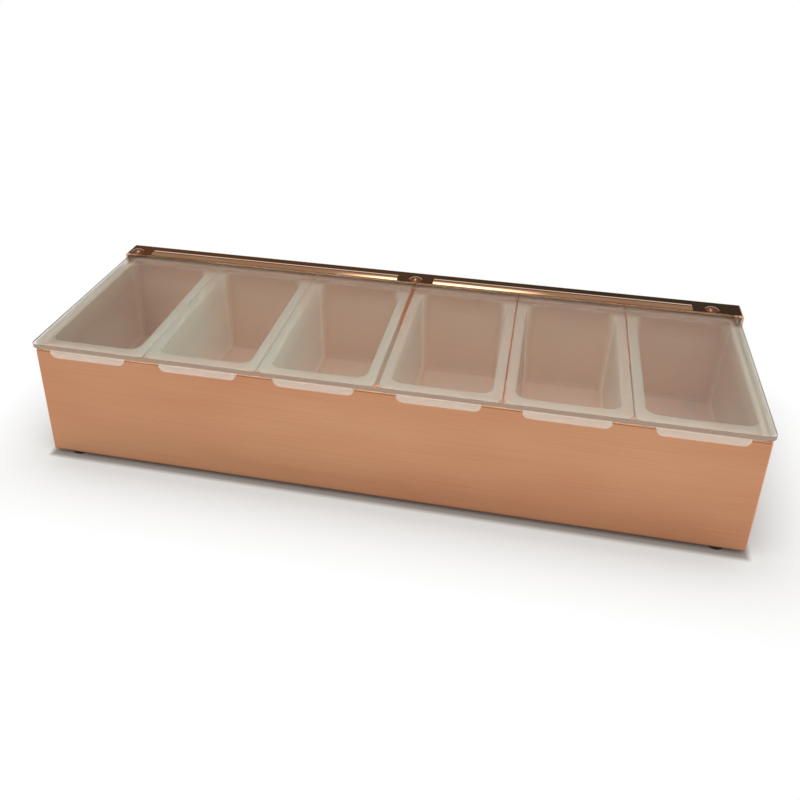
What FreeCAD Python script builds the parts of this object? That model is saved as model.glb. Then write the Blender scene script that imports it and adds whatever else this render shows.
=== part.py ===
"""Condiment holder: a folded sheet box, six lift-out inserts and a clear lid on a hinge rail.

Frame: +X along the box, the front faces -Y, +Z is up, and the origin lies on the table
under the middle of the closed holder. Lengths are millimetres.
"""

import FreeCAD, Part
import math
import os

import Sketcher

doc = FreeCAD.newDocument("condiment_holder")
sheet = doc.addObject("Spreadsheet::Sheet", "sizes")

SIZES = {
    # Box of folded sheet round the inserts, with an inward flange and a ledge at the back
    "body_sheet": 1.0,
    "body_inner_bend": 0.5,
    "body_inner_corner": 1.0,
    "flange_round_share": 0.4,
    "mouth_corner": 3.0,
    "tub_clearance": 0.9,
    "rim_end_clearance": 0.6,
    "rim_setback": 0.5,
    "rim_back_clearance": 10.4,
    "ledge_support": 5.1,
    "floor_clearance": 17.9,
    # Push-in rubber feet
    "foot_height": 3.0,
    "foot_diameter": 12.0,
    "foot_round": 0.8,
    "foot_inset_x": 17.5,
    "foot_inset_y": 7.5,
    "foot_neck_diameter": 5.0,
    "foot_neck_clearance": 0.1,
    "foot_barb_diameter": 6.6,
    "foot_barb_lip": 0.8,
    "foot_barb_height": 3.0,
    "foot_tip_diameter": 3.6,
    # Inserts: drafted tubs with a turned-down rim and a tab over the front wall
    "insert_width": 77.8,
    "insert_gap": 1.0,
    "middle_gap": 3.0,
    "insert_wall": 1.5,
    "insert_depth": 66.0,
    "insert_draft": 2.4,
    "insert_floor_radius": 4.0,
    "insert_mouth_length": 124.0,
    "insert_mouth_radius": 8.0,
    "rim_height": 2.4,
    "rim_side": 6.8,
    "rim_front": 8.7,
    "rim_back": 16.4,
    "rim_radius": 5.0,
    "rim_round": 0.5,
    "mouth_round": 1.0,
    "tab_inset": 12.15,
    "tab_drop": 6.4,
    "tab_thickness": 1.7,
    "tab_clearance": 0.3,
    "tab_radius": 4.5,
    # Lid sheet
    "lid_side_overhang": 1.1,
    "lid_front_overhang": 3.0,
    "lid_thickness": 3.0,
    "lid_gap": 0.3,
    "lid_front_corner": 5.0,
    "lid_back_corner": 2.0,
    "lid_back_setback": 0.5,
    "lid_edge_round": 0.5,
    # Hinge rail: one folded sheet with pressed beads
    "rail_sheet": 1.5,
    "rail_depth": 16.4,
    "rail_inner_bend": 0.4,
    "ear_clearance": 1.5,
    "ear_flat": 1.4,
    "bead_width": 9.2,
    "bead_rise": 1.1,
    "bead_rivet_gap": 4.5,
    # Rivets through rail and lid
    "rivet_diameter": 4.0,
    "rivet_head_diameter": 10.0,
    "rivet_head_height": 1.8,
    "rivet_flare": 1.5,
    "rivet_clearance": 0.05,
    "rivet_margin": 0.2,
    "rivet_left_inset": 8.1,
    "rivet_right_inset": 21.6,
    # Pivots
    "pivot_inset": 6.0,
    "pivot_drop": 5.0,
    "pin_diameter": 4.0,
    "pin_clearance": 0.05,
    "pin_head_diameter": 8.0,
    "pin_head_height": 1.0,
    "pin_head_round": 0.6,
    "pin_tail_diameter": 7.0,
    "pin_tail_height": 1.2,
    "pivot_play": 0.3,
    "washer_diameter": 9.0,
}

INSERT_COUNT = 6
SAME = 0.001


class Formula:
    """A length worked out from the sheet: its present value, and the expression that binds it."""

    def __init__(self, value, text):
        self.value = value
        self.text = text

    def joined(self, sign, other, value):
        text = other.text if isinstance(other, Formula) else str(other)
        return Formula(value, f"({self.text} {sign} {text})")

    def __add__(self, other):
        return self.joined("+", other, self.value + amount(other))

    def __sub__(self, other):
        return self.joined("-", other, self.value - amount(other))

    def __mul__(self, other):
        return self.joined("*", other, self.value * amount(other))

    def __truediv__(self, other):
        return self.joined("/", other, self.value / amount(other))

    def __neg__(self):
        return Formula(-self.value, f"(-{self.text})")

    def __radd__(self, zero):
        return self

    def __rsub__(self, zero):
        return -self


def amount(length):
    """The number in a formula, or the number itself."""
    return length.value if isinstance(length, Formula) else length


for row, (alias, size) in enumerate(SIZES.items(), start=1):
    sheet.set(f"A{row}", alias)
    sheet.set(f"B{row}", str(size))
    sheet.setAlias(f"B{row}", alias)
doc.recompute()


def get(alias):
    """The named size as a formula."""
    return Formula(float(sheet.get(alias)), f"sizes.{alias}")


def bind(item, path, length):
    """Ties a property to a formula; zero stays as it is."""
    if isinstance(length, Formula):
        item.setExpression(path, length.text)


def place(item, x, y, z):
    """Ties the three coordinates of an object's place."""
    for axis, length in zip("xyz", (x, y, z)):
        bind(item, f"Placement.Base.{axis}", length)


def new_body(label):
    body = doc.addObject("PartDesign::Body", label)
    body.Label = label
    return body


def new_sketch(body, name, role, shift=0, lift=0):
    """A sketch on an origin plane, moved along the plane's second axis and along its normal."""
    sketch = body.newObject("Sketcher::SketchObject", name)
    plane = next(item for item in body.Origin.OriginFeatures if item.Role == role)
    sketch.AttachmentSupport = (plane, "")
    sketch.MapMode = "FlatFace"
    bind(sketch, "AttachmentOffset.Base.y", shift)
    bind(sketch, "AttachmentOffset.Base.z", lift)
    doc.recompute()
    return sketch


def hold(sketch, kind, targets, length):
    """Adds one dimension and ties it to its formula."""
    index = sketch.addConstraint(Sketcher.Constraint(kind, *targets, length.value))
    sketch.setExpression(f"Constraints[{index}]", length.text)


def pin_point(sketch, shape, end, x, y):
    """Fixes a point of a sketch by its two coordinates."""
    origin = (-1, 1)
    horizontal_axis = -1
    vertical_axis = -2
    if isinstance(x, Formula):
        hold(sketch, "DistanceX", (*origin, shape, end), x)
    else:
        sketch.addConstraint(Sketcher.Constraint("PointOnObject", shape, end, vertical_axis))
    if isinstance(y, Formula):
        hold(sketch, "DistanceY", (*origin, shape, end), y)
    else:
        sketch.addConstraint(Sketcher.Constraint("PointOnObject", shape, end, horizontal_axis))


def spot(x, y):
    return FreeCAD.Vector(amount(x), amount(y), 0)


def draw_outline(sketch, points):
    """A closed outline of straight edges through points given as formulas."""
    count = len(points)
    for index in range(count):
        line = Part.LineSegment(spot(*points[index]), spot(*points[(index + 1) % count]))
        sketch.addGeometry(line)
    for index in range(count):
        sketch.addConstraint(Sketcher.Constraint("Coincident", index, 2, (index + 1) % count, 1))
    for index, (x, y) in enumerate(points):
        pin_point(sketch, index, 1, x, y)


def draw_circle(sketch, x, y, diameter):
    index = sketch.addGeometry(Part.Circle(spot(x, y), FreeCAD.Vector(0, 0, 1), diameter.value / 2))
    pin_point(sketch, index, 3, x, y)
    hold(sketch, "Diameter", (index,), diameter)


def draw_rounded(sketch, width, length, radius):
    """A rectangle with round corners about the sketch's origin."""
    quarter = math.pi / 2
    x = width.value / 2
    y = length.value / 2
    r = radius.value
    runs = [
        ((-x + r, -y), (x - r, -y)),
        ((x, -y + r), (x, y - r)),
        ((x - r, y), (-x + r, y)),
        ((-x, y - r), (-x, -y + r)),
    ]
    for start, end in runs:
        sketch.addGeometry(Part.LineSegment(spot(*start), spot(*end)))
    centres = [(x - r, -y + r), (x - r, y - r), (-x + r, y - r), (-x + r, -y + r)]
    for turn, centre in enumerate(centres):
        circle = Part.Circle(spot(*centre), FreeCAD.Vector(0, 0, 1), r)
        sketch.addGeometry(Part.ArcOfCircle(circle, (turn - 1) * quarter, turn * quarter))
    for turn in range(4):
        corner = 4 + turn
        sketch.addConstraint(Sketcher.Constraint("Tangent", turn, 2, corner, 1))
        sketch.addConstraint(Sketcher.Constraint("Tangent", corner, 2, (turn + 1) % 4, 1))
    for line, direction in enumerate(["Horizontal", "Vertical", "Horizontal", "Vertical"]):
        sketch.addConstraint(Sketcher.Constraint(direction, line))
    for corner in (5, 6, 7):
        sketch.addConstraint(Sketcher.Constraint("Equal", 4, corner))
    sketch.addConstraint(Sketcher.Constraint("Symmetric", 4, 3, 6, 3, -1, 1))
    hold(sketch, "Radius", (4,), radius)
    hold(sketch, "DistanceX", (3, 1, 1, 1), width)
    hold(sketch, "DistanceY", (0, 1, 2, 1), length)


def draw_crown(sketch, y, z, width, rise, half):
    """A flat-based arch, or the half of it beyond its middle, whose base lies at z and is centred on y."""
    radius = (width * width / 4 + rise * rise) / (rise * 2)
    centre = spot(y, z + rise - radius)
    circle = Part.Circle(centre, FreeCAD.Vector(0, 0, 1), radius.value)
    right = spot(y + width / 2, z)
    top = spot(y, z + rise)
    left = top if half else spot(y - width / 2, z)
    sketch.addGeometry(Part.ArcOfCircle(circle, circle.parameter(right), circle.parameter(left)))
    foot = spot(y, z) if half else left
    sketch.addGeometry(Part.LineSegment(foot, right))
    sketch.addConstraint(Sketcher.Constraint("Coincident", 1, 2, 0, 1))
    if half:
        sketch.addGeometry(Part.LineSegment(top, foot))
        sketch.addConstraint(Sketcher.Constraint("Coincident", 0, 2, 2, 1))
        sketch.addConstraint(Sketcher.Constraint("Coincident", 2, 2, 1, 1))
        pin_point(sketch, 2, 1, y, z + rise)
        pin_point(sketch, 1, 1, y, z)
    else:
        sketch.addConstraint(Sketcher.Constraint("Coincident", 0, 2, 1, 1))
        pin_point(sketch, 1, 1, y - width / 2, z)
    pin_point(sketch, 1, 2, y + width / 2, z)
    hold(sketch, "Radius", (0,), radius)


def extrude(body, kind, name, sketch, length, reverse=False, symmetric=False):
    """A Pad or Pocket of one length."""
    feature = body.newObject(f"PartDesign::{kind}", name)
    feature.Profile = sketch
    feature.Reversed = reverse
    feature.SideType = "Symmetric" if symmetric else "One side"
    bind(feature, "Length", length)
    doc.recompute()
    return feature


def revolve(body, kind, name, sketch, axis, angle=360, reverse=False):
    """A Revolution or Groove about an axis of its sketch."""
    feature = body.newObject(f"PartDesign::{kind}", name)
    feature.Profile = sketch
    feature.ReferenceAxis = (sketch, [axis])
    feature.Angle = angle
    feature.Reversed = reverse
    doc.recompute()
    return feature


def loft(body, kind, name, first, last):
    """A straight-sided loft between two sketches."""
    feature = body.newObject(f"PartDesign::{kind}", name)
    feature.Profile = first
    feature.Sections = [last]
    feature.Ruled = True
    doc.recompute()
    return feature


def break_edges(body, kind, name, size_name, size, wanted):
    """A Fillet or Chamfer on the edges of the body's last feature that a test picks out."""
    base = body.Tip
    edges = [f"Edge{index}" for index, edge in enumerate(base.Shape.Edges, start=1) if wanted(edge.BoundBox)]
    if not edges:
        raise RuntimeError(f"{name} finds no edge")
    feature = body.newObject(f"PartDesign::{kind}", name)
    feature.Base = (base, edges)
    bind(feature, size_name, size)
    doc.recompute()
    return feature


def near(a, b):
    return abs(a - amount(b)) < SAME


def level(z):
    """Picks the edges that lie flat at a height."""
    return lambda box: near(box.ZMin, z) and near(box.ZMax, z)


# The box is as large as its row of inserts needs
row_length = get("insert_width") * INSERT_COUNT + get("insert_gap") * (INSERT_COUNT - 2) + get("middle_gap")
rim_length = get("rim_front") + get("insert_mouth_length") + get("rim_back")
tub_height = get("insert_depth") + get("insert_wall") - get("rim_height")
body_length = row_length + get("rim_end_clearance") * 2
body_depth = get("rim_setback") + rim_length + get("rim_back_clearance")
body_height = tub_height + get("floor_clearance") + get("body_sheet")
body_bend = get("body_inner_bend") + get("body_sheet")
tub_outset = get("insert_wall") + get("tub_clearance")
side_flange = get("rim_end_clearance") + get("rim_side") - tub_outset
front_flange = get("rim_setback") + get("rim_front") - tub_outset
back_ledge = get("rim_back_clearance") + get("ledge_support")

# Places that several pieces share
half_depth = (body_depth + get("lid_front_overhang")) / 2
body_middle_y = get("lid_front_overhang") / 2
body_front_y = get("lid_front_overhang") - half_depth
body_side_x = body_length / 2
seat_z = get("foot_height") + body_height
lid_bottom_z = seat_z + get("rim_height") + get("lid_gap")
lid_top_z = lid_bottom_z + get("lid_thickness")
rail_top_z = lid_top_z + get("rail_sheet")
pivot_y = half_depth - get("pivot_inset")
pivot_z = seat_z - get("pivot_drop")
foot_x = body_side_x - get("foot_inset_x")
foot_front_y = body_front_y + get("foot_inset_y")
foot_back_y = half_depth - get("foot_inset_y")
lid_side_x = body_side_x + get("lid_side_overhang")
ear_inner_x = lid_side_x + get("ear_clearance")
ear_outer_x = ear_inner_x + get("rail_sheet")
rail_front_y = half_depth - get("rail_depth")
rivet_y = rail_front_y + get("rivet_margin") + get("rivet_head_diameter") / 2
rivet_left_x = get("rivet_left_inset") - ear_outer_x
rivet_right_x = ear_outer_x - get("rivet_right_inset")
rivet_hole = get("rivet_diameter") + get("rivet_clearance") * 2
pin_hole = get("pin_diameter") + get("pin_clearance") * 2


def make_body_shell():
    """Folded box: outer block, mouth inside the flange, well between the sheets, then its holes."""
    body = new_body("body_shell")
    place(body, 0, body_middle_y, get("foot_height"))
    sheet_size = get("body_sheet")
    flange_z = body_height - sheet_size
    outline = new_sketch(body, "shell_outline", "XY_Plane")
    draw_rounded(outline, body_length, body_depth, get("body_inner_corner") + sheet_size)
    extrude(body, "Pad", "shell_block", outline, body_height)
    break_edges(body, "Fillet", "shell_bends", "Radius", body_bend,
                lambda box: level(0)(box) or level(body_height)(box))
    mouth = new_sketch(body, "shell_mouth", "XY_Plane", (front_flange - back_ledge) / 2, body_height)
    mouth_width = body_length - side_flange * 2
    mouth_length = body_depth - front_flange - back_ledge
    draw_rounded(mouth, mouth_width, mouth_length, get("mouth_corner"))
    extrude(body, "Pocket", "shell_mouth_cut", mouth, flange_z)
    well = new_sketch(body, "shell_well", "XY_Plane", 0, sheet_size)
    draw_rounded(well, body_length - sheet_size * 2, body_depth - sheet_size * 2, get("body_inner_corner"))
    extrude(body, "Pocket", "shell_well_cut", well, flange_z - sheet_size, reverse=True)

    def round_mouth(box):
        """Edges of the mouth, above and below the flange."""
        front = front_flange - body_depth / 2
        back = body_depth / 2 - back_ledge
        within_x = max(-box.XMin, box.XMax) < (mouth_width / 2).value + SAME
        within_y = box.YMin > front.value - SAME and box.YMax < back.value + SAME
        return (level(body_height)(box) or level(flange_z)(box)) and within_x and within_y

    def round_well(box):
        """Edges where the walls meet the base and the underside of the flange."""
        return level(sheet_size)(box) or (level(flange_z)(box) and not round_mouth(box))

    break_edges(body, "Fillet", "shell_inner_bends", "Radius", get("body_inner_bend"), round_well)
    flange_round = sheet_size * get("flange_round_share")
    break_edges(body, "Fillet", "shell_flange_round", "Radius", flange_round, round_mouth)
    feet = new_sketch(body, "shell_foot_holes", "XY_Plane")
    for x in (-foot_x, foot_x):
        for y in (foot_front_y - body_middle_y, foot_back_y - body_middle_y):
            draw_circle(feet, x, y, get("foot_neck_diameter") + get("foot_neck_clearance") * 2)
    extrude(body, "Pocket", "shell_foot_holes_cut", feet, sheet_size, reverse=True)
    pivots = new_sketch(body, "shell_pivot_holes", "YZ_Plane")
    draw_circle(pivots, pivot_y - body_middle_y, pivot_z - get("foot_height"), pin_hole)
    extrude(body, "Pocket", "shell_pivot_holes_cut", pivots, body_length, symmetric=True)
    return body


def make_insert(number):
    """Drafted tub with a turned-down rim; its origin is the middle of the mouth, at the seat."""
    body = new_body(f"insert_{number}")
    pitch = get("insert_width") + get("insert_gap")
    spread = (get("middle_gap") - get("insert_gap")) / 2
    from_middle = number - (INSERT_COUNT + 1) / 2
    side = 1 if from_middle > 0 else -1
    mouth_front_y = body_front_y + get("rim_setback") + get("rim_front")
    place(body, pitch * from_middle + spread * side, mouth_front_y + get("insert_mouth_length") / 2, seat_z)
    wall = get("insert_wall")
    top = get("rim_height")
    mouth_width = get("insert_width") - get("rim_side") * 2
    mouth_length = get("insert_mouth_length")
    mouth_radius = get("insert_mouth_radius")
    rim_shift = (get("rim_back") - get("rim_front")) / 2
    floor_z = top - get("insert_depth")
    narrowing = get("insert_draft") * 2

    rim = new_sketch(body, f"rim_{number}", "XY_Plane", rim_shift)
    draw_rounded(rim, get("insert_width"), rim_length, get("rim_radius"))
    extrude(body, "Pad", f"rim_plate_{number}", rim, top)
    hollow = new_sketch(body, f"rim_hollow_{number}", "XY_Plane", rim_shift)
    draw_rounded(hollow, get("insert_width") - wall * 2, rim_length - wall * 2, get("rim_radius") - wall)
    extrude(body, "Pocket", f"rim_hollow_cut_{number}", hollow, top - wall, reverse=True)

    upper = new_sketch(body, f"tub_top_{number}", "XY_Plane", 0, top)
    draw_rounded(upper, mouth_width + wall * 2, mouth_length + wall * 2, mouth_radius + wall)
    lower = new_sketch(body, f"tub_base_{number}", "XY_Plane", 0, floor_z - wall)
    draw_rounded(lower, mouth_width + wall * 2 - narrowing, mouth_length + wall * 2 - narrowing,
                 mouth_radius + wall - get("insert_draft"))
    loft(body, "AdditiveLoft", f"tub_{number}", upper, lower)

    rim_front_y = -(mouth_length / 2 + get("rim_front"))
    tab_inner_y = rim_front_y - get("rim_setback") - get("tab_clearance")
    tab_outer_y = tab_inner_y - get("tab_thickness")
    tab_bottom = top - get("tab_drop")
    tab_width = get("insert_width") - get("tab_inset") * 2
    tab = new_sketch(body, f"tab_{number}", "YZ_Plane")
    draw_outline(tab, [
        (rim_front_y + wall, 0),
        (tab_inner_y, 0),
        (tab_inner_y, tab_bottom),
        (tab_outer_y, tab_bottom),
        (tab_outer_y, top),
        (rim_front_y + wall, top),
    ])
    extrude(body, "Pad", f"tab_hook_{number}", tab, tab_width, symmetric=True)
    break_edges(body, "Fillet", f"tab_corners_{number}", "Radius", get("tab_radius"),
                lambda box: level(tab_bottom)(box) and near(box.XMin, box.XMax)
                and near(abs(box.XMin), tab_width / 2))

    mouth = new_sketch(body, f"mouth_{number}", "XY_Plane", 0, top)
    draw_rounded(mouth, mouth_width, mouth_length, mouth_radius)
    floor = new_sketch(body, f"floor_{number}", "XY_Plane", 0, floor_z)
    draw_rounded(floor, mouth_width - narrowing, mouth_length - narrowing, mouth_radius - get("insert_draft"))
    loft(body, "SubtractiveLoft", f"inside_{number}", mouth, floor)
    break_edges(body, "Fillet", f"floor_round_{number}", "Radius", get("insert_floor_radius"), level(floor_z))
    break_edges(body, "Fillet", f"tub_base_round_{number}", "Radius", get("insert_floor_radius") + wall,
                level(floor_z - wall))
    break_edges(body, "Fillet", f"mouth_round_{number}", "Radius", get("mouth_round"),
                lambda box: level(top)(box) and box.YMin > -(mouth_length / 2).value - SAME
                and box.YMax < (mouth_length / 2).value + SAME
                and abs(box.Center.x) < (mouth_width / 2).value + SAME)
    break_edges(body, "Fillet", f"rim_round_{number}", "Radius", get("rim_round"),
                lambda box: level(top)(box) and (box.YMin < rim_front_y.value + SAME
                or box.YMax > (mouth_length / 2 + get("mouth_round")).value + SAME
                or abs(box.Center.x) > (mouth_width / 2 + get("mouth_round")).value + SAME))
    return body


def make_lid_panel():
    """Flat clear sheet with rounded front corners and countersunk rivet holes."""
    body = new_body("lid_panel")
    back_y = half_depth - get("lid_back_setback")
    outline = new_sketch(body, "lid_outline", "XY_Plane", 0, lid_bottom_z)
    draw_outline(outline, [
        (-lid_side_x, -half_depth),
        (lid_side_x, -half_depth),
        (lid_side_x, back_y),
        (-lid_side_x, back_y),
    ])
    extrude(body, "Pad", "lid_sheet", outline, get("lid_thickness"))
    for name, size, y in (("lid_front_corners", "lid_front_corner", -half_depth),
                          ("lid_back_corners", "lid_back_corner", back_y)):
        break_edges(body, "Fillet", name, "Radius", get(size),
                    lambda box: near(box.YMin, y) and near(box.YMax, y) and near(box.XMin, box.XMax))
    break_edges(body, "Fillet", "lid_edge", "Radius", get("lid_edge_round"),
                lambda box: near(box.ZMin, box.ZMax))
    holes = new_sketch(body, "lid_rivet_holes", "XY_Plane", 0, lid_bottom_z)
    for x in (rivet_left_x, 0, rivet_right_x):
        draw_circle(holes, x, rivet_y, rivet_hole)
    extrude(body, "Pocket", "lid_rivet_holes_cut", holes, get("lid_thickness"), reverse=True)
    break_edges(body, "Chamfer", "lid_countersinks", "Size", get("rivet_flare"),
                lambda box: level(lid_bottom_z)(box) and near(box.XLength, rivet_hole))
    return body


def make_hinge_rail():
    """Folded rail: top plate with pressed beads, and an ear at each end that hangs on its pin."""
    body = new_body("hinge_rail")
    ear_bottom_z = pivot_z - get("pivot_inset")
    section = new_sketch(body, "rail_section", "XZ_Plane", 0, -half_depth)
    draw_outline(section, [
        (-ear_outer_x, ear_bottom_z),
        (-ear_inner_x, ear_bottom_z),
        (-ear_inner_x, lid_top_z),
        (ear_inner_x, lid_top_z),
        (ear_inner_x, ear_bottom_z),
        (ear_outer_x, ear_bottom_z),
        (ear_outer_x, rail_top_z),
        (-ear_outer_x, rail_top_z),
    ])
    extrude(body, "Pad", "rail_fold", section, get("rail_depth"))
    inner_bend = get("rail_inner_bend")
    for name, radius, x, z in (("rail_inner_bends", inner_bend, ear_inner_x, lid_top_z),
                               ("rail_outer_bends", inner_bend + get("rail_sheet"), ear_outer_x, rail_top_z)):
        break_edges(body, "Fillet", name, "Radius", radius,
                    lambda box: level(z)(box) and near(abs(box.XMin), x) and near(abs(box.XMax), x)
                    and near(box.XMin, box.XMax))
    ear_front_radius = get("rail_depth") - get("pivot_inset") - get("ear_flat")
    for name, radius, y in (("ear_back_corners", get("pivot_inset"), half_depth),
                            ("ear_front_corners", ear_front_radius, rail_front_y)):
        break_edges(body, "Fillet", name, "Radius", radius,
                    lambda box: level(ear_bottom_z)(box) and near(box.YMin, y) and near(box.YMax, y))
    pivots = new_sketch(body, "rail_pivot_holes", "YZ_Plane")
    draw_circle(pivots, pivot_y, pivot_z, pin_hole)
    extrude(body, "Pocket", "rail_pivot_holes_cut", pivots, ear_outer_x * 2, symmetric=True)
    holes = new_sketch(body, "rail_rivet_holes", "XY_Plane", 0, rail_top_z)
    for x in (rivet_left_x, 0, rivet_right_x):
        draw_circle(holes, x, rivet_y, rivet_hole)
    extrude(body, "Pocket", "rail_rivet_holes_cut", holes, get("rail_sheet"))
    gap = (get("rivet_head_diameter") + get("bead_width")) / 2 + get("bead_rivet_gap")
    press_bead(body, "left", rivet_left_x + gap, -gap)
    press_bead(body, "right", gap, rivet_right_x - gap)
    return body


def press_bead(body, name, start_x, end_x):
    """A raised bead in line with the rivets: an arch along X and half a dome at each end, hollow below."""
    width = get("bead_width")
    rise = get("bead_rise")
    radius = (width * width / 4 + rise * rise) / (rise * 2)
    hollow_width = width * (radius - get("rail_sheet")) / radius
    layers = (
        ("crest", "Pad", "Revolution", rail_top_z, width),
        ("hollow", "Pocket", "Groove", lid_top_z, hollow_width),
    )
    for layer, straight, turned, z, span in layers:
        arch = new_sketch(body, f"bead_{layer}_{name}", "YZ_Plane", 0, start_x)
        draw_crown(arch, rivet_y, z, span, rise, half=False)
        run = f"bead_{layer}_run_{name}"
        extrude(body, straight, run, arch, end_x - start_x, reverse=straight == "Pocket")
        for end, x, reverse in (("start", start_x, False), ("end", end_x, True)):
            dome = new_sketch(body, f"bead_{layer}_{end}_{name}", "YZ_Plane", 0, x)
            draw_crown(dome, rivet_y, z, span, rise, half=True)
            revolve(body, turned, f"bead_{layer}_{end}_dome_{name}", dome, "Edge3", 180, reverse)


def make_rivet(number, x):
    """Round-headed rivet, flared flush into the underside of the lid."""
    body = new_body(f"rivet_{number}")
    place(body, x, rivet_y, rail_top_z)
    head = get("rivet_head_diameter") / 2
    shank = get("rivet_diameter") / 2
    tail_z = lid_bottom_z - rail_top_z
    shaft = new_sketch(body, f"rivet_shaft_{number}", "XZ_Plane")
    draw_outline(shaft, [
        (0, 0),
        (0, tail_z),
        (shank + get("rivet_flare"), tail_z),
        (shank, tail_z + get("rivet_flare")),
        (shank, 0),
    ])
    revolve(body, "Revolution", f"rivet_stem_{number}", shaft, "V_Axis")
    dome = new_sketch(body, f"rivet_dome_{number}", "XZ_Plane")
    draw_crown(dome, 0, 0, head * 2, get("rivet_head_height"), half=True)
    revolve(body, "Revolution", f"rivet_head_{number}", dome, "V_Axis")
    return body


def make_pivot(side, turn):
    """Headed pivot pin, clinched inside the end wall, and the washer that keeps the ear off that wall."""
    wall_inner = -get("body_sheet")
    ear_gap = get("lid_side_overhang") + get("ear_clearance")
    head_start = ear_gap + get("rail_sheet") + get("pivot_play")
    head_end = head_start + get("pin_head_height")
    shank = get("pin_diameter") / 2
    head = get("pin_head_diameter") / 2
    tail = get("pin_tail_diameter") / 2
    pin = new_body(f"hinge_pin_{side}")
    profile = new_sketch(pin, f"pin_profile_{side}", "XY_Plane")
    draw_outline(profile, [
        (wall_inner - get("pin_tail_height"), 0),
        (head_end, 0),
        (head_end, head),
        (head_start, head),
        (head_start, shank),
        (wall_inner, shank),
        (wall_inner, tail),
        (wall_inner - get("pin_tail_height"), tail),
    ])
    revolve(pin, "Revolution", f"pin_turned_{side}", profile, "H_Axis")
    break_edges(pin, "Fillet", f"pin_head_round_{side}", "Radius", get("pin_head_round"),
                lambda box: near(box.XMin, head_end) and near(box.XMax, head_end))

    washer = new_body(f"hinge_washer_{side}")
    ring = new_sketch(washer, f"washer_ring_{side}", "YZ_Plane")
    draw_circle(ring, 0, 0, get("washer_diameter"))
    draw_circle(ring, 0, 0, pin_hole)
    extrude(washer, "Pad", f"washer_plate_{side}", ring, ear_gap - get("pivot_play"))
    for body in (pin, washer):
        body.Placement.Rotation = FreeCAD.Rotation(FreeCAD.Vector(0, 0, 1), turn)
        place(body, -body_side_x if turn else body_side_x, pivot_y, pivot_z)
    return [pin, washer]


def make_foot(name, x, y):
    """Rubber bumper pushed through the base, with a barb above the sheet."""
    body = new_body(f"foot_{name}")
    place(body, x, y, 0)
    neck_top = get("foot_height") + get("body_sheet") + get("foot_neck_clearance")
    lip_top = neck_top + get("foot_barb_lip")
    tip = neck_top + get("foot_barb_height")
    profile = new_sketch(body, f"foot_profile_{name}", "XZ_Plane")
    draw_outline(profile, [
        (0, 0),
        (get("foot_diameter") / 2, 0),
        (get("foot_diameter") / 2, get("foot_height")),
        (get("foot_neck_diameter") / 2, get("foot_height")),
        (get("foot_neck_diameter") / 2, neck_top),
        (get("foot_barb_diameter") / 2, neck_top),
        (get("foot_barb_diameter") / 2, lip_top),
        (get("foot_tip_diameter") / 2, tip),
        (0, tip),
    ])
    revolve(body, "Revolution", f"foot_turned_{name}", profile, "V_Axis")
    break_edges(body, "Fillet", f"foot_edge_{name}", "Radius", get("foot_round"),
                lambda box: level(0)(box))
    return body


parts = [make_body_shell()]
parts += [make_insert(number) for number in range(1, INSERT_COUNT + 1)]
parts += [make_lid_panel(), make_hinge_rail()]
rivets = doc.addObject("Part::Compound", "lid_rivets")
rivets.Links = [make_rivet(number, x) for number, x in enumerate((rivet_left_x, 0, rivet_right_x), start=1)]
parts.append(rivets)
parts += make_pivot("left", 180) + make_pivot("right", 0)
parts += [
    make_foot("front_left", -foot_x, foot_front_y),
    make_foot("front_right", foot_x, foot_front_y),
    make_foot("back_left", -foot_x, foot_back_y),
    make_foot("back_right", foot_x, foot_back_y),
]

doc.recompute()
for item in doc.Objects:
    if "Invalid" in item.State or "Error" in item.State:
        raise RuntimeError(f"{item.Label} failed: {item.State}")
for part in parts:
    if part.Shape.isNull() or not part.Shape.isValid():
        raise RuntimeError(f"{part.Label} has no valid shape")

os.makedirs("parts", exist_ok=True)
for part in parts:
    part.Shape.exportStep(f"parts/{part.Label}.step")
    print(f"{part.Label}: {len(part.Shape.Solids)} solid(s), {part.Shape.Volume:.1f} mm3")
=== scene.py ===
import math

import bpy
import numpy as np
from mathutils import Matrix, Vector


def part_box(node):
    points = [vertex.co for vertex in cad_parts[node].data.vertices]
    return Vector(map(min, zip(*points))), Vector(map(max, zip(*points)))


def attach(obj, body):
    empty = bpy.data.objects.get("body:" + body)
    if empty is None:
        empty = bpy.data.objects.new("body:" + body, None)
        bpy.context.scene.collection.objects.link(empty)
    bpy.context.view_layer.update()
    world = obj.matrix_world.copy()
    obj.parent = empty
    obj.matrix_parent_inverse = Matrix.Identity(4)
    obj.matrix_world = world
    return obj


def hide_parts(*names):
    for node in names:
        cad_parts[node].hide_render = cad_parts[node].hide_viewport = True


# A condiment holder: a brushed copper box of six frosted inserts, under a clear lid on a polished hinge rail.
# Metres throughout: +X along the box, the front faces -Y, and the origin lies on the table under its middle.
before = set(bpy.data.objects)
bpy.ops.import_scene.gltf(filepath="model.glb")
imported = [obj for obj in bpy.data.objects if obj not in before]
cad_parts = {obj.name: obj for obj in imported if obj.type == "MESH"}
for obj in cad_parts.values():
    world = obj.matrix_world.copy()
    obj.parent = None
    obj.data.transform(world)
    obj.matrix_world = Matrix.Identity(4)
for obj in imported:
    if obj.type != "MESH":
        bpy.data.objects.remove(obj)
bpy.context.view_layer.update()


# Box: one blank of copper-plated steel sheet, folded up into walls and in again as a flange and a back ledge.
# The plating is brushed along the outside, so its grain runs level all round; the inside is left dull.
MM = 0.001
SHEET_SKIN = 0.4 * MM
FLANGE_BEND, FLANGE_COVER = 3.0 * MM, 1.0 * MM
INSIDE_DULL = 0.9
STREAK_CELLS, STREAK_DEPTH = (10, 10, 1900), 0.2 * MM
DRIFT_CELLS = (7, 7, 22)


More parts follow.
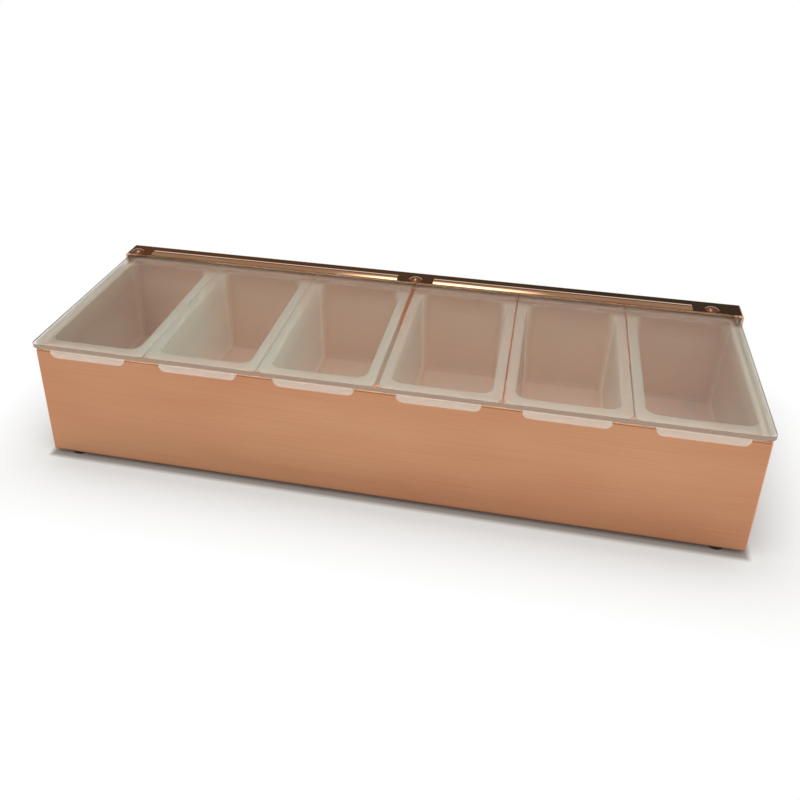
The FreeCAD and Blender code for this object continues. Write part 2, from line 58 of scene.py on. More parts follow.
def paint(red, green, blue):
    """A colour given in screen values, 0 to 255, as the linear values that shaders take."""
    screen = np.array([red, green, blue]) / 255
    linear = np.where(screen <= 0.04045, screen / 12.92, ((screen + 0.055) / 1.055) ** 2.4)
    return (*linear, 1.0)


def add(tree, kind, inputs, **settings):
    """Adds a node; each of its inputs takes a plain value or another node's output."""
    node = tree.nodes.new("ShaderNode" + kind)
    for name, value in settings.items():
        setattr(node, name, value)
    for key, value in inputs.items():
        if isinstance(value, bpy.types.NodeSocket):
            tree.links.new(value, node.inputs[key])
        else:
            node.inputs[key].default_value = value
    return node


def figure(tree, operation, *terms):
    """One number worked out from up to three others."""
    return add(tree, "Math", dict(enumerate(terms)), operation=operation).outputs[0]


def mixed(tree, share, first, second, way="MIX"):
    """The first colour with a share of the second one laid over it."""
    inputs = {"Fac": share, "Color1": first, "Color2": second}
    return add(tree, "MixRGB", inputs, blend_type=way).outputs["Color"]


def ramp(tree, factor, low, high, start=0.3, end=0.7):
    """Blends from one colour to another as a factor goes from start to end."""
    node = add(tree, "ValToRGB", {"Fac": factor})
    for stop, position, colour in zip(node.color_ramp.elements, (start, end), (low, high)):
        stop.position = position
        stop.color = colour
    return node.outputs["Color"]


def spread(tree, factor, low, high, start=0.3, end=0.7):
    """Goes from one number to another as a factor goes from start to end."""
    inputs = {"Value": factor, "From Min": start, "From Max": end, "To Min": low, "To Max": high}
    return add(tree, "MapRange", inputs).outputs["Result"]


def stretched_noise(tree, cells, detail, roughness=0.5):
    """Noise over the piece's own coordinates, with its own number of cells per metre along each axis."""
    place = add(tree, "TexCoord", {}).outputs["Object"]
    scaled = add(tree, "Mapping", {"Vector": place, "Scale": cells})
    inputs = {"Vector": scaled.outputs[0], "Scale": 1.0, "Detail": detail, "Roughness": roughness}
    return add(tree, "TexNoise", inputs).outputs["Fac"]


def within_box(tree, low, high):
    """One inside a box given by two corners, and zero outside it."""
    place = add(tree, "TexCoord", {}).outputs["Object"]
    parts = add(tree, "SeparateXYZ", {"Vector": place}).outputs
    inside = 1.0
    for axis, near, far in zip("XYZ", low, high):
        beyond = figure(tree, "GREATER_THAN", parts[axis], near)
        short = figure(tree, "LESS_THAN", parts[axis], far)
        inside = figure(tree, "MULTIPLY", figure(tree, "MULTIPLY", beyond, short), inside)
    return inside


def new_finish(name, constants):
    """A material with one Principled shader and its constant sockets; gives it, its tree and the shader."""
    material = bpy.data.materials.new(name)
    material.use_nodes = True
    shader = material.node_tree.nodes["Principled BSDF"]
    for socket, value in constants.items():
        shader.inputs[socket].default_value = value
    return material, material.node_tree, shader


def dress(node_name, material):
    """Gives a CAD node its finish."""
    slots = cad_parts[node_name].data.materials
    slots.clear()
    slots.append(material)


def brushed_copper():
    """Satin copper: fine level streaks over slow drifts of a redder plating.

    Within the sheet's outer skin the plating is dull, and painted paler as painted light that lifts the shade
    inside the box. The flange under the rims is dull too."""
    material, tree, shader = new_finish("brushed_copper", {"Anisotropic": 0.6})
    low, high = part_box("body_shell")
    skin = Vector((SHEET_SKIN, SHEET_SKIN, SHEET_SKIN))
    cover = Vector((FLANGE_BEND, FLANGE_BEND, -FLANGE_COVER))
    inside = within_box(tree, low + skin, high - skin)
    under_rims = within_box(tree, low + cover, high - cover)
    dull = figure(tree, "MAXIMUM", figure(tree, "MULTIPLY", inside, INSIDE_DULL), under_rims)
    tree.links.new(figure(tree, "SUBTRACT", 1.0, dull), shader.inputs["Metallic"])
    streaks = stretched_noise(tree, STREAK_CELLS, 4.0, 0.7)
    drifts = stretched_noise(tree, DRIFT_CELLS, 2.0)
    brushed = ramp(tree, drifts, paint(207, 153, 116), paint(200, 141, 107))
    # The inside's paler plating is painted light: it lifts the shade that falls inside the box.
    plating = mixed(tree, inside, brushed, paint(224, 157, 121))
    streak_tone = ramp(tree, streaks, paint(236, 236, 236), paint(255, 255, 255))
    tree.links.new(mixed(tree, 1.0, plating, streak_tone, "MULTIPLY"), shader.inputs["Base Color"])
    tree.links.new(spread(tree, streaks, 0.26, 0.42), shader.inputs["Roughness"])
    bump = add(tree, "Bump", {"Height": streaks, "Strength": 0.08, "Distance": STREAK_DEPTH})
    tree.links.new(bump.outputs["Normal"], shader.inputs["Normal"])
    return material


dress("body_shell", brushed_copper())


# Feet: four bumpers moulded in black rubber, each with a flat pad that stands on the table.
# Their barbed necks are pushed up through holes in the base and grip behind the sheet.
RUBBER_GRAIN = (900, 900, 900)


def black_rubber():
    """Dull black rubber with a fine moulded grain."""
    material, tree, shader = new_finish("black_rubber", {"Specular IOR Level": 0.3})
    grain = stretched_noise(tree, RUBBER_GRAIN, 2.0)
    tree.links.new(ramp(tree, grain, paint(24, 23, 22), paint(36, 34, 33)), shader.inputs["Base Color"])
    tree.links.new(spread(tree, grain, 0.55, 0.75), shader.inputs["Roughness"])
    return material


rubber = black_rubber()
for corner in ("front_left", "front_right", "back_left", "back_right"):
    dress(f"foot_{corner}", rubber)


# Inserts: six drafted tubs moulded in frosted polypropylene, with a turned-down rim that rests on the flange.
# A tab on each rim hooks over the front wall, to lift the insert by, and the rims at the row's two ends
# reach further out. Heights count from the seat on the flange.
SEAT_Z = 87.0 * MM
INSERT_CENTRES = np.array([-198.0, -119.2, -40.4, 40.4, 119.2, 198.0]) * MM
PLASTIC = 1.5 * MM
RIM_HALF, RIM_FRONT, RIM_BACK, RIM_CORNER = 38.9 * MM, -78.0 * MM, 71.1 * MM, 5.0 * MM
RIM_TOP, RIM_EASE = 2.4 * MM, 0.7 * MM
RIM_UNDER = RIM_TOP - PLASTIC
END_REACH = 1.6 * MM
MOUTH_HALF, MOUTH_FRONT, MOUTH_BACK, MOUTH_CORNER = 32.1 * MM, -69.3 * MM, 54.7 * MM, 8.0 * MM
MOUTH_EASE, MOUTH_BORDER = 1.6 * MM, 1.2 * MM
DEPTH, DRAFT = 66.0 * MM, 2.4 * MM
FLOOR_Z, FLOOR_FILLET = RIM_TOP - DEPTH, 4.0 * MM
WALL_BOW = 0.35 * MM
WALL_FOOT_Z = FLOOR_Z + 12.0 * MM
OUTER_HEAD_Z, INNER_HEAD_Z = RIM_UNDER - 1.0 * MM, RIM_TOP - MOUTH_EASE - 1.5 * MM
ROOT_STEPS = np.array([(0.1, 0.5), (0.35, 0.12), (0.9, 0.0)]) * MM
TAB_HALF, TAB_CORNER, TAB_LOW = 26.75 * MM, 4.5 * MM, -4.0 * MM
TAB_INNER, TAB_OUTER, TAB_STEP = 0.8 * MM, 2.5 * MM, 0.05 * MM
TAB_SIDE_INSETS = np.array([0.25, 0.06, 0.0, -0.08]) * MM
TAB_SIDE_SHARES = [1.0, 0.85, 0.4, 0.0]
TAB_COLUMNS, TAB_TURN_COLUMNS = 6, 8
CORNER_STEPS, EDGE_STEPS, FILLET_LOOPS, EASE_LOOPS = 10, 8, 8, 6
OUTER_LOOPS, INNER_LOOPS = 6, 7
SMOOTH_BELOW = math.radians(40)


def tab_columns():
    """Places along the rim's front edge, as x, and how far each belongs to the tab, from 0 to 1.

    They crowd where the tab's lower corners turn, and step onto the tab across its rounded side edge."""
    flat = np.linspace(0, TAB_HALF - TAB_CORNER, TAB_COLUMNS, endpoint=False)
    turn = np.linspace(0, math.pi / 2, TAB_TURN_COLUMNS, endpoint=False)
    rounding = TAB_HALF - TAB_CORNER + TAB_CORNER * np.sin(turn)
    half_x = np.concatenate([flat, rounding, TAB_HALF - TAB_SIDE_INSETS, [RIM_HALF - RIM_CORNER]])
    half_share = np.concatenate([np.ones(flat.size + rounding.size), TAB_SIDE_SHARES, [0.0]])
    x = np.concatenate([-half_x[:0:-1], half_x])
    share = np.concatenate([half_share[:0:-1], half_share])
    return x, share


TAB_X, TAB_SHARE = tab_columns()


def rounded_ring(half, front, back, corner, z):
    """One level loop round a rectangle with round corners, from its left front.

    The front edge has the tab's columns, the others have even ones, and each corner is a quarter turn."""
    inner = half - corner
    along_front = np.stack([TAB_X / TAB_X[-1] * inner, np.full(TAB_X.size, front)], 1)
    quarter = np.linspace(-math.pi / 2, 0, CORNER_STEPS + 1)[1:-1]
    even = np.linspace(0, 1, EDGE_STEPS + 1)[:, None]

    def corner_arc(x, y, turned):
        return np.stack([x + corner * np.cos(quarter + turned), y + corner * np.sin(quarter + turned)], 1)

    def edge(start, end):
        return np.array(start) * (1 - even) + np.array(end) * even

    low, high = front + corner, back - corner
    loop = np.concatenate([
        along_front,
        corner_arc(inner, low, 0),
        edge((half, low), (half, high)),
        corner_arc(inner, high, math.pi / 2),
        edge((inner, back), (-inner, back)),
        corner_arc(-inner, high, math.pi),
        edge((-half, high), (-half, low)),
        corner_arc(-inner, low, 3 * math.pi / 2),
    ])
    return np.column_stack([loop, np.full(len(loop), z)])


def rim_ring(inset, z):
    """A loop that far inside the rim's outline."""
    return rounded_ring(RIM_HALF - inset, RIM_FRONT + inset, RIM_BACK - inset, RIM_CORNER - inset, z)


def mouth_ring(outset, z):
    """A loop that far outside the mouth's outline, where the wall has no draft yet."""
    front, back = MOUTH_FRONT - outset, MOUTH_BACK + outset
    return rounded_ring(MOUTH_HALF + outset, front, back, MOUTH_CORNER + outset, z)


def wall_ring(outset, z):
    """A loop on the drafted wall, bowed in a little half way up its long sides: a parabola both ways."""
    down = (RIM_TOP - z) / DEPTH
    ring = mouth_ring(outset - DRAFT * down, z)
    middle = (MOUTH_FRONT + MOUTH_BACK) / 2
    along = (ring[:, 1] - middle) / ((MOUTH_BACK - MOUTH_FRONT) / 2)
    bow = WALL_BOW * 4 * down * (1 - down) * np.clip(1 - along ** 2, 0, 1)
    ring[:, 0] -= bow * ring[:, 0] / MOUTH_HALF
    return ring


def hooked_ring(inset, z, tab_outset, tab_z, follows_corner):
    """A rim loop whose front edge leaves the lip for the tab, where the tab is.

    The tab's lower points rise along its round corners; the upper ones stay level."""
    ring = rim_ring(inset, z)
    past = np.clip(np.abs(TAB_X) - (TAB_HALF - TAB_CORNER), 0, TAB_CORNER)
    rise = (TAB_CORNER - np.sqrt(TAB_CORNER ** 2 - past ** 2)) * follows_corner
    hook_z = np.minimum(tab_z + rise, max(tab_z, -TAB_STEP))
    columns = slice(0, TAB_X.size)
    ring[columns, 1] += TAB_SHARE * (RIM_FRONT - tab_outset - ring[columns, 1])
    ring[columns, 2] += TAB_SHARE * (hook_z - ring[columns, 2])
    return ring


def fillet_rings(outset, floor_z, radius):
    """Loops from the floor up a fillet to the drafted wall: a quarter circle in section."""
    turn = np.linspace(-math.pi / 2, 0, FILLET_LOOPS)
    outsets = outset - radius + radius * np.cos(turn)
    heights = floor_z + radius + radius * np.sin(turn)
    return [wall_ring(*step) for step in zip(outsets, heights)]


def lip_rings():
    """Loops round the lip and the tab, from the rim's underside out to its edge.

    Each row has the lip's inset and height, then the tab's outset and height, and 1 where the tab's
    lower corners are round."""
    rows = [
        (PLASTIC, RIM_UNDER, -PLASTIC, RIM_UNDER, 0),
        (PLASTIC, 0.25 * MM, -PLASTIC, 0.1 * MM, 0),
        (1.25 * MM, 0.0, -1.25 * MM, 0.0, 0),
        (0.9 * MM, 0.0, TAB_INNER, 0.0, 0),
        (0.75 * MM, 0.0, TAB_INNER, TAB_LOW + 0.5 * MM, 1),
        (0.6 * MM, 0.0, TAB_INNER + 0.15 * MM, TAB_LOW + 0.13 * MM, 1),
        (0.45 * MM, 0.0, TAB_INNER + 0.5 * MM, TAB_LOW, 1),
        (0.3 * MM, 0.02 * MM, TAB_OUTER - 0.6 * MM, TAB_LOW, 1),
        (0.15 * MM, 0.06 * MM, TAB_OUTER - 0.18 * MM, TAB_LOW + 0.16 * MM, 1),
        (0.05 * MM, 0.15 * MM, TAB_OUTER, TAB_LOW + 0.6 * MM, 1),
        (0.0, 0.4 * MM, TAB_OUTER, 0.3 * MM, 0),
    ]
    return [hooked_ring(*row) for row in rows]


def insert_rings():
    """The whole skin as loops: up the outside from the floor, round the lip, over the rim, down the inside.

    The rim's outer edge and the mouth's edge are quarter circles in section."""
    outside = fillet_rings(PLASTIC, FLOOR_Z - PLASTIC, FLOOR_FILLET + PLASTIC)
    outside += [wall_ring(PLASTIC, z) for z in np.linspace(WALL_FOOT_Z, OUTER_HEAD_Z, OUTER_LOOPS)]
    outside += [mouth_ring(PLASTIC + out, RIM_UNDER - down) for out, down in ROOT_STEPS]
    turn = np.linspace(0, math.pi / 2, EASE_LOOPS)
    near, far = 1 - np.sin(turn), 1 - np.cos(turn)
    rim_steps = zip(RIM_EASE * far, RIM_TOP - RIM_EASE * near)
    rim_edge = [hooked_ring(inset, z, TAB_OUTER - inset, z, 0) for inset, z in rim_steps]
    mouth_edge = [mouth_ring(MOUTH_EASE + MOUTH_BORDER, RIM_TOP)]
    mouth_edge += [mouth_ring(*step) for step in zip(MOUTH_EASE * near, RIM_TOP - MOUTH_EASE * far)]
    inside = [wall_ring(0, z) for z in np.linspace(INNER_HEAD_Z, WALL_FOOT_Z, INNER_LOOPS)]
    inside += fillet_rings(0, FLOOR_Z, FLOOR_FILLET)[::-1]
    return outside + lip_rings() + rim_edge + mouth_edge + inside


def drawn_out(ring, side):
    """A loop with its lip moved out by END_REACH on one side, and its rim stretched from mouth to lip."""
    mouth_side, lip_side = MOUTH_HALF + 2 * PLASTIC, RIM_HALF - PLASTIC
    share = np.clip((ring[:, 0] * side - mouth_side) / (lip_side - mouth_side), 0, 1)
    return ring + np.outer(share * side * END_REACH, (1, 0, 0))


def skin_mesh(name, rings):
    """Joins loops of equal length into quads and closes both ends with a flat fan about their middle."""
    points = np.concatenate([*rings, [rings[0].mean(0), rings[-1].mean(0)]])
    size = len(rings[0])
    columns = np.arange(size)
    beside = (columns + 1) % size
    rows = np.arange(len(rings) - 1)[:, None] * size
    above = rows + size
    quads = np.stack([rows + columns, rows + beside, above + beside, above + columns], 2).reshape(-1, 4)
    top = columns + (len(rings) - 1) * size
    first_fan = np.stack([np.full(size, len(points) - 2), beside, columns], 1)
    last_fan = np.stack([np.full(size, len(points) - 1), top, np.roll(top, -1)], 1)
    mesh = bpy.data.meshes.new(name)
    mesh.from_pydata(points.tolist(), [], quads.tolist() + first_fan.tolist() + last_fan.tolist())
    mesh.shade_smooth()
    mesh.set_sharp_from_angle(angle=SMOOTH_BELOW)
    return mesh


def new_piece(name, mesh, material, body, slot, *nodes):
    """Puts a finished mesh in the scene, on its body, in place of its CAD nodes."""
    piece = bpy.data.objects.new(name, mesh)
    mesh.materials.append(material)
    bpy.context.scene.collection.objects.link(piece)
    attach(piece, body)
    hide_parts(*nodes)


ROW_HALF = INSERT_CENTRES[-1] + RIM_HALF
# The extra milk of sideways walls, SIDE and END, is painted light for the lit cavity next door.
WALL_MILK, SIDE_MILK_PAINTED_LIGHT, END_MILK_PAINTED_LIGHT = 0.205, 0.4, 0.25
RIM_MILK, BACK_MILK, END_RIM_MILK = 0.235, 0.12, 0.6
MOUTH_MILK, BACK_CLEAR, CORNER_CLEAR = 0.08, 0.08, 0.8
END_RIM = (ROW_HALF - 7.0 * MM, ROW_HALF - 4.0 * MM)
END_WALL = (ROW_HALF - 12.0 * MM, ROW_HALF - 8.0 * MM)
BACK_WALL = (MOUTH_BACK - 5.0 * MM, MOUTH_BACK + 1.0 * MM)
RIM_RISE = (SEAT_Z - 5.0 * MM, SEAT_Z)
MOUTH_RISE = (SEAT_Z - 14.0 * MM, SEAT_Z)
SIDE_TURN, CORNER_TURN = (0.4, 0.9), (0.72, 0.97)
BACK_SHEEN = 0.2
CLOUD_CELLS = (60, 60, 60)


def let_lamps_through(tree, surface, tint):
    """Ends a material so that lamplight goes straight through, tinted, and other rays meet its surface."""
    is_shadow = add(tree, "LightPath", {}).outputs["Is Shadow Ray"]
    clear = add(tree, "BsdfTransparent", {"Color": tint})
    both = add(tree, "MixShader", {0: is_shadow, 1: surface.outputs[0], 2: clear.outputs[0]})
    tree.links.new(both.outputs[0], tree.nodes["Material Output"].inputs["Surface"])


def frosted_plastic():
    """Hazy plastic: a milky share over what is behind it, under a smooth moulded surface that glints.

    The rims at the row's ends are milkiest, then the walls between neighbours, and these more so near the
    mouth;
    the extra milk of the sideways walls is painted light, for the lit neighbour seen through them. The rim
    behind the mouth, the top of the back wall and the drawn corners are clearer."""
    constants = {
        "Specular IOR Level": 0.0,
        "Roughness": 0.6,
        "Subsurface Weight": 1.0,
        "Subsurface Radius": (1.0, 0.95, 0.85),
        "Subsurface Scale": 3.0 * MM,
    }
    material, tree, shader = new_finish("frosted_plastic", constants)
    coordinates = add(tree, "TexCoord", {}).outputs
    facing = add(tree, "SeparateXYZ", {"Vector": coordinates["Normal"]}).outputs
    place = add(tree, "SeparateXYZ", {"Vector": coordinates["Object"]}).outputs
    sideways = figure(tree, "ABSOLUTE", facing["X"])
    lengthways = figure(tree, "ABSOLUTE", facing["Y"])
    level = figure(tree, "ABSOLUTE", facing["Z"])
    along = figure(tree, "ABSOLUTE", place["X"])
    behind = spread(tree, place["Y"], 0.0, 1.0, *BACK_WALL)

    # Sideways walls are made milkier as painted light, standing in for the lit neighbour seen through them;
    # less so at the row's ends.
    painted_side_milk = spread(tree, along, SIDE_MILK_PAINTED_LIGHT, END_MILK_PAINTED_LIGHT, *END_WALL)
    milk_with_painted_side_light = spread(tree, sideways, WALL_MILK, painted_side_milk, *SIDE_TURN)
    straightest = figure(tree, "MAXIMUM", figure(tree, "MAXIMUM", sideways, lengthways), level)
    drawn = spread(tree, straightest, CORNER_CLEAR, 1.0, *CORNER_TURN)
    cleared = figure(tree, "MULTIPLY", behind, -BACK_CLEAR)
    change = figure(tree, "MULTIPLY_ADD", sideways, MOUTH_MILK, cleared)
    by_mouth = figure(tree, "MULTIPLY", spread(tree, place["Z"], 0.0, 1.0, *MOUTH_RISE), change)
    wall_milk_with_painted_light = figure(tree, "MULTIPLY_ADD", milk_with_painted_side_light, drawn, by_mouth)
    front_milk = spread(tree, along, RIM_MILK, END_RIM_MILK, *END_RIM)
    rim_milk = spread(tree, behind, front_milk, BACK_MILK, 0.0, 1.0)
    on_rim = figure(tree, "MULTIPLY", level, spread(tree, place["Z"], 0.0, 1.0, *RIM_RISE))
    tree.links.new(spread(tree, on_rim, wall_milk_with_painted_light, rim_milk, 0.0, 1.0), shader.inputs["Alpha"])
    tone = ramp(tree, along, paint(232, 233, 223), paint(188, 182, 169), *END_RIM)
    tree.links.new(tone, shader.inputs["Base Color"])

    cloud = stretched_noise(tree, CLOUD_CELLS, 2.0)
    gloss = add(tree, "BsdfGlossy", {"Roughness": spread(tree, cloud, 0.05, 0.09)})
    outer = figure(tree, "SUBTRACT", 1.0, add(tree, "NewGeometry", {}).outputs["Backfacing"])
    sheen = figure(tree, "MULTIPLY", add(tree, "Fresnel", {"IOR": 1.45}).outputs[0], outer)
    sheen = figure(tree, "MULTIPLY", sheen, spread(tree, behind, 1.0, BACK_SHEEN, 0.0, 1.0))
    moulded = add(tree, "MixShader", {0: sheen, 1: shader.outputs[0], 2: gloss.outputs[0]})
    let_lamps_through(tree, moulded, paint(242, 240, 236))
    return material


frosted = frosted_plastic()
rings = insert_rings()
for number, centre in enumerate(INSERT_CENTRES, start=1):
    side = (number == len(INSERT_CENTRES)) - (number == 1)
    placed = [drawn_out(ring, side) + (centre, 0, SEAT_Z) for ring in rings]
    mesh = skin_mesh(f"frosted_insert_{number}", placed)
    new_piece(f"frosted_insert_{number}", mesh, frosted, "holder", "insert_plastic", f"insert_{number}")


# Pivots: turned steel pins with heads, clinched in the box's end walls, on which the rail's ears swing.
# Each carries a nylon washer that keeps the ear off the wall.
TOOL_MARKS = (3000, 300, 300)
NYLON_GRAIN = (700, 700, 700)


def bright_steel():
    """Turned steel with faint tool marks."""
    material, tree, shader = new_finish("bright_steel", {"Metallic": 1.0})
    marks = stretched_noise(tree, TOOL_MARKS, 2.0)
    tree.links.new(ramp(tree, marks, paint(190, 188, 186), paint(208, 206, 204)), shader.inputs["Base Color"])
    tree.links.new(spread(tree, marks, 0.18, 0.28), shader.inputs["Roughness"])
    return material


def white_nylon():
    """Off-white washer plastic."""
    material, tree, shader = new_finish("white_nylon", {"Specular IOR Level": 0.4})
    grain = stretched_noise(tree, NYLON_GRAIN, 2.0)
    tree.links.new(ramp(tree, grain, paint(218, 214, 204), paint(228, 225, 216)), shader.inputs["Base Color"])
    tree.links.new(spread(tree, grain, 0.4, 0.5), shader.inputs["Roughness"])
    return material


steel = bright_steel()
nylon = white_nylon()
for side in ("left", "right"):
    dress(f"hinge_pin_{side}", steel)
    dress(f"hinge_washer_{side}", nylon)


# Lid: one flat sheet of clear acrylic with round corners and eased edges, just above the rims when shut.
# It is drilled and countersunk for the rivets that hold it on the rail.
WIPE_CELLS = (9, 16, 9)
EDGE_TURN = (0.5, 0.8)


def clear_acrylic():
    """Clear acrylic with faint wiping marks and brown edges, which are a painted reflection; lamps shine
    straight through it.
    """
    material, tree, shader = new_finish("clear_acrylic", {"IOR": 1.49})
    wipes = stretched_noise(tree, WIPE_CELLS, 3.0)
    tree.links.new(spread(tree, wipes, 0.0, 0.035, 0.45, 0.8), shader.inputs["Roughness"])
    facing = add(tree, "SeparateXYZ", {"Vector": add(tree, "TexCoord", {}).outputs["Normal"]}).outputs
    flat = figure(tree, "ABSOLUTE", facing["Z"])
    # The edges let less light through and turn brown: a painted reflection of the dark copper and rail behind
    # them.
    tree.links.new(spread(tree, flat, 0.15, 1.0, *EDGE_TURN), shader.inputs["Transmission Weight"])
    painted_edge_reflection = ramp(tree, flat, paint(150, 128, 110), paint(250, 250, 248), *EDGE_TURN)
    tree.links.new(painted_edge_reflection, shader.inputs["Base Color"])
    let_lamps_through(tree, shader, paint(246, 246, 244))
    return material


dress("lid_panel", clear_acrylic())


# Hinge rail: a strip of copper-plated steel, polished bright, whose ends fold down as ears on the pins.
# Two long beads are pressed into it, and three domed rivets hold it down on the lid.
RIPPLE_CELLS, RIPPLE_DEPTH = (30, 90, 90), 1.0 * MM
RUB_CELLS = (120, 900, 900)


def polished_copper(name, bright, deep, smooth, worn):
    """Polished copper between two tones, with a slow ripple, and rougher where wiping has worn it."""
    material, tree, shader = new_finish(name, {"Metallic": 1.0})
    ripple = stretched_noise(tree, RIPPLE_CELLS, 2.0)
    rubs = stretched_noise(tree, RUB_CELLS, 3.0)
    tree.links.new(ramp(tree, ripple, bright, deep), shader.inputs["Base Color"])
    tree.links.new(spread(tree, rubs, smooth, worn), shader.inputs["Roughness"])
    bump = add(tree, "Bump", {"Height": ripple, "Strength": 0.03, "Distance": RIPPLE_DEPTH})
    tree.links.new(bump.outputs["Normal"], shader.inputs["Normal"])
    return material


rail_finish = polished_copper("polished_copper", paint(214, 172, 142), paint(206, 160, 128), 0.04, 0.09)
# The rivets take a darker copy of the rail's copper: painted shade for the dark surroundings their domes
# mirror.
darkened_rivet_finish = polished_copper("rivet_copper_painted_dark", paint(156, 112, 88), paint(142, 100, 76), 0.2, 0.28)
dress("hinge_rail", rail_finish)
dress("lid_rivets", darkened_rivet_finish)


# Stage: a wide pale floor with a painted shadow right under the box, and broad soft lamps, which light the
# part but aren't mirrored in it.
# Gloss sees a plain room instead: white at the horizon, dim above it, and one bright patch overhead
# that draws the white line along the rail.
WHITE = (1.0, 1.0, 1.0, 1.0)
FLOOR_HALF = 6.0
FLOOR_TONE, PAINTED_SHADOW_TONE = (0.58, 0.58, 0.57, 1.0), (0.25, 0.22, 0.2, 1.0)
FOOTPRINT = (237.5 * MM, 80.0 * MM, 0.0)
PAINTED_SHADOW_EDGE, SHADOW_FADE = (0.0, 4.0 * MM), (10.0 * MM, 70.0 * MM)


def sees_background(tree):
    """One for the rays that look at the background: from the camera, off gloss and through glass."""
    path = add(tree, "LightPath", {}).outputs
    straight = figure(tree, "MAXIMUM", path["Is Camera Ray"], path["Is Glossy Ray"])
    return figure(tree, "MAXIMUM", straight, path["Is Transmission Ray"])


def pale_floor():
    """Matt floor that keeps the object's shadow, with a painted shadow darkening it right under the box, and
    plain white further out.
    """
    material = bpy.data.materials.new("pale_floor")
    material.use_nodes = True
    tree = material.node_tree
    tree.nodes.clear()
    place = add(tree, "VectorMath", {0: add(tree, "TexCoord", {}).outputs["Object"]}, operation="ABSOLUTE")
    beyond = add(tree, "VectorMath", {0: place.outputs[0], 1: FOOTPRINT}, operation="SUBTRACT")
    outside = add(tree, "VectorMath", {0: beyond.outputs[0], 1: (0.0, 0.0, 0.0)}, operation="MAXIMUM")
    distance = add(tree, "VectorMath", {0: outside.outputs[0]}, operation="LENGTH").outputs["Value"]
    # Right under the box the floor's colour is a painted shadow, darkest inside the footprint and fading
    # within a few millimetres.
    tone = ramp(tree, spread(tree, distance, 0.0, 1.0, *PAINTED_SHADOW_EDGE), PAINTED_SHADOW_TONE, FLOOR_TONE, 0.0, 1.0)
    matt = add(tree, "BsdfDiffuse", {"Color": tone})
    plain = add(tree, "Emission", {"Color": WHITE, "Strength": 1.0})
    far_off = spread(tree, distance, 0.0, 1.0, *SHADOW_FADE)
    share = figure(tree, "MULTIPLY", sees_background(tree), far_off)
    both = add(tree, "MixShader", {0: share, 1: matt.outputs[0], 2: plain.outputs[0]})
    output = add(tree, "OutputMaterial", {"Surface": both.outputs[0]})
    output.is_active_output = True
    return material


floor_mesh = bpy.data.meshes.new("floor")
floor_signs = np.array([(-1, -1, 0), (1, -1, 0), (1, 1, 0), (-1, 1, 0)])
floor_mesh.from_pydata((floor_signs * FLOOR_HALF).tolist(), [], [(0, 1, 2, 3)])
floor = bpy.data.objects.new("floor", floor_mesh)
floor_mesh.materials.append(pale_floor())
bpy.context.scene.collection.objects.link(floor)

FILL_LIGHT = (0.85, 0.85, 0.85, 1.0)
LEFT_DIM, RIGHT_DIM, FRONT_DIM = (0.15, 0.1, 0.06, 1.0), (0.06, 0.06, 0.05, 1.0), (0.08, 0.08, 0.07, 1.0)
CEILING, BRIGHT_PATCH = (0.46, 0.42, 0.36, 1.0), (4.0, 4.0, 3.8, 1.0)
LEFT_TO_RIGHT, FRONT_TO_BACK = (-0.5, 0.1), (-0.3, 0.1)
BACK_HORIZON, FRONT_HORIZON, CEILING_EDGE = (0.18, 0.32), (0.1, 0.4), (0.46, 0.56)
PATCH_LEFT, PATCH_HALF, PATCH_RISE, PATCH_FRONT = 0.11, (0.06, 0.12), (0.75, 0.9), (0.0, 0.1)


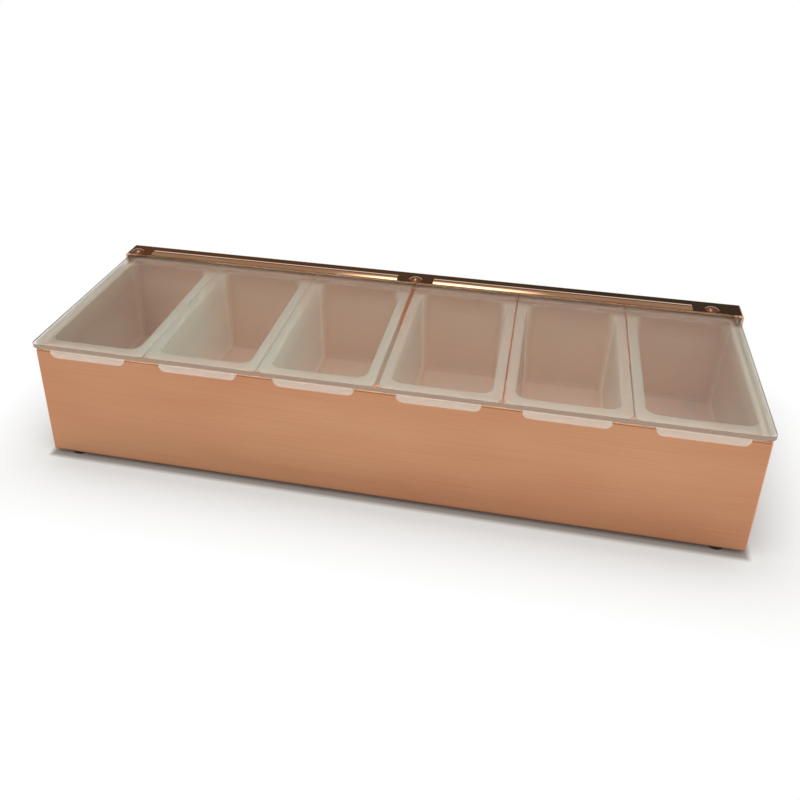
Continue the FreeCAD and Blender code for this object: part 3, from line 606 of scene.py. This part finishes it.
def plain_room():
    """A world that lights evenly and looks white; gloss alone sees its dim parts and its bright patch.

    A bearing's three parts say how far a ray points right, back and up, and the limits are given in these."""
    world = bpy.data.worlds.new("room")
    world.use_nodes = True
    tree = world.node_tree
    bearing = add(tree, "SeparateXYZ", {"Vector": add(tree, "TexCoord", {}).outputs["Generated"]}).outputs
    dim = ramp(tree, spread(tree, bearing["X"], 0.0, 1.0, *LEFT_TO_RIGHT), LEFT_DIM, RIGHT_DIM, 0.0, 1.0)
    at_back = mixed(tree, spread(tree, bearing["Z"], 0.0, 1.0, *BACK_HORIZON), WHITE, dim)
    at_front = ramp(tree, bearing["Z"], WHITE, FRONT_DIM, *FRONT_HORIZON)
    walls = mixed(tree, spread(tree, bearing["Y"], 1.0, 0.0, *FRONT_TO_BACK), at_back, at_front)
    mirrored = mixed(tree, spread(tree, bearing["Z"], 0.0, 1.0, *CEILING_EDGE), walls, CEILING)
    aside = figure(tree, "ABSOLUTE", figure(tree, "ADD", bearing["X"], PATCH_LEFT))
    across = spread(tree, aside, 1.0, 0.0, *PATCH_HALF)
    high = spread(tree, bearing["Z"], 0.0, 1.0, *PATCH_RISE)
    backward = spread(tree, bearing["Y"], 0.0, 1.0, *PATCH_FRONT)
    patch = figure(tree, "MULTIPLY", figure(tree, "MULTIPLY", across, high), backward)
    mirrored = mixed(tree, patch, mirrored, BRIGHT_PATCH)
    even = mixed(tree, sees_background(tree), FILL_LIGHT, WHITE)
    off_gloss = add(tree, "LightPath", {}).outputs["Is Glossy Ray"]
    tree.links.new(mixed(tree, off_gloss, even, mirrored), tree.nodes["Background"].inputs["Color"])
    return world


bpy.context.scene.world = plain_room()

LAMPS = {
    "overhead": ((-0.04, -0.15, 1.65), (2.4, 2.4), 20.0),
    "front": ((-0.2, -2.2, 1.5), (2.0, 1.6), 20.0),
    "left": ((-1.4, -0.9, 1.6), (1.6, 1.6), 9.0),
    "right": ((1.6, -0.9, 1.5), (1.6, 1.6), 9.0),
}


def soft_lamp(name, place, size, power):
    """A rectangular area lamp that faces the origin, and that gloss doesn't mirror."""
    lamp = bpy.data.lights.new(name, "AREA")
    lamp.shape = "RECTANGLE"
    lamp.size, lamp.size_y = size
    lamp.energy = power
    item = bpy.data.objects.new(name, lamp)
    item.location = place
    item.rotation_euler = (-Vector(place)).to_track_quat("-Z", "Y").to_euler()
    item.visible_glossy = False
    bpy.context.scene.collection.objects.link(item)


for lamp_name, settings in LAMPS.items():
    soft_lamp(lamp_name, *settings)


# Camera: the photograph's viewpoint, above the box's front and a little to the right of its middle.
# It looks down and a little to the left, with the frame set off centre.
CAMERA_PLACE = Vector((0.09533, -0.52599, 0.39562))
YAW, PITCH, ROLL = math.radians(-11.93), math.radians(26.33), math.radians(0.46)

camera_data = bpy.data.cameras.new("camera")
camera_data.sensor_width = 36.0
camera_data.lens = 38.98
camera_data.shift_x = 0.0286
camera_data.shift_y = -0.1553
camera = bpy.data.objects.new("camera", camera_data)
heading = Matrix.Rotation(-YAW, 4, "Z") @ Matrix.Rotation(math.pi / 2 - PITCH, 4, "X")
camera.matrix_world = Matrix.Translation(CAMERA_PLACE) @ heading @ Matrix.Rotation(ROLL, 4, "Z")
bpy.context.scene.collection.objects.link(camera)
bpy.context.scene.camera = camera
bpy.context.scene.view_settings.view_transform = "Standard"
